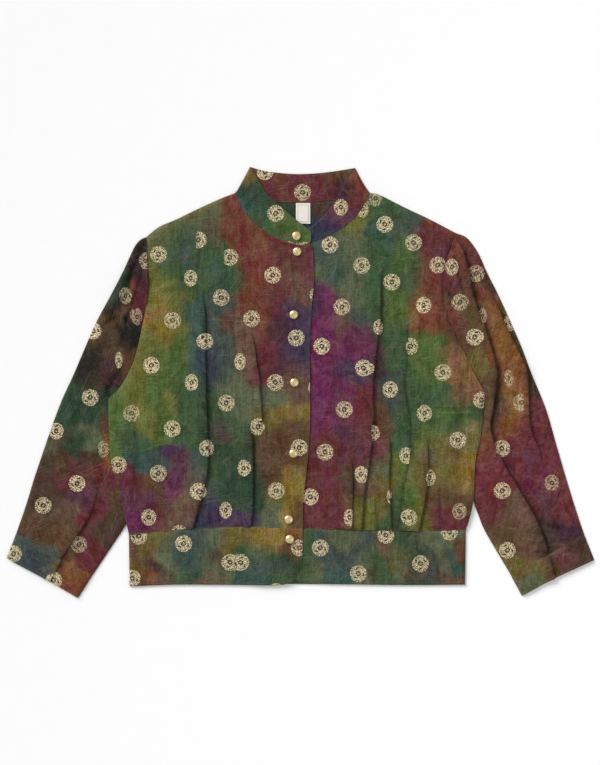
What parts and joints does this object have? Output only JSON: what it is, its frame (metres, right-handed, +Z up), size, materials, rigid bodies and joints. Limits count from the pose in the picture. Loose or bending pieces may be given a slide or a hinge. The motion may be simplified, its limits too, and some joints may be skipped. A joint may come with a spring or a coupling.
{
  "type": "blouse",
  "caption": "Woman's printed blouse with stand collar, long sleeves, cuffs, deep waistband and domed front buttons, laid out flat with its front upwards.",
  "frame": {"origin": "on the surface that the blouse lies on, under the middle of its outline", "axes": "+X towards the wearer's left sleeve, along the cuff to cuff width, +Y from the hem to the collar, +Z up out of the front"},
  "size_m": [0.8808, 0.6459, 0.0105],
  "materials": {
    "printed_cloth": "matte woven cotton, tie-dyed and printed",
    "label_cloth": "smooth woven tape",
    "gilt_brass": "polished, slightly worn"
  },
  "bodies": {
    "root": {"body_back": "printed_cloth", "front_right": "printed_cloth", "front_left": "printed_cloth", "waistband_back": "printed_cloth", "waistband_right": "printed_cloth", "waistband_left": "printed_cloth", "collar": "printed_cloth", "sleeve_right": "printed_cloth", "sleeve_left": "printed_cloth", "cuff_right": "printed_cloth", "cuff_left": "printed_cloth", "neck_label": "label_cloth", "button_collar": "gilt_brass", "button_1": "gilt_brass", "button_2": "gilt_brass", "button_3": "gilt_brass", "button_4": "gilt_brass", "button_5": "gilt_brass", "button_6": "gilt_brass"}
  },
  "joints": []
}
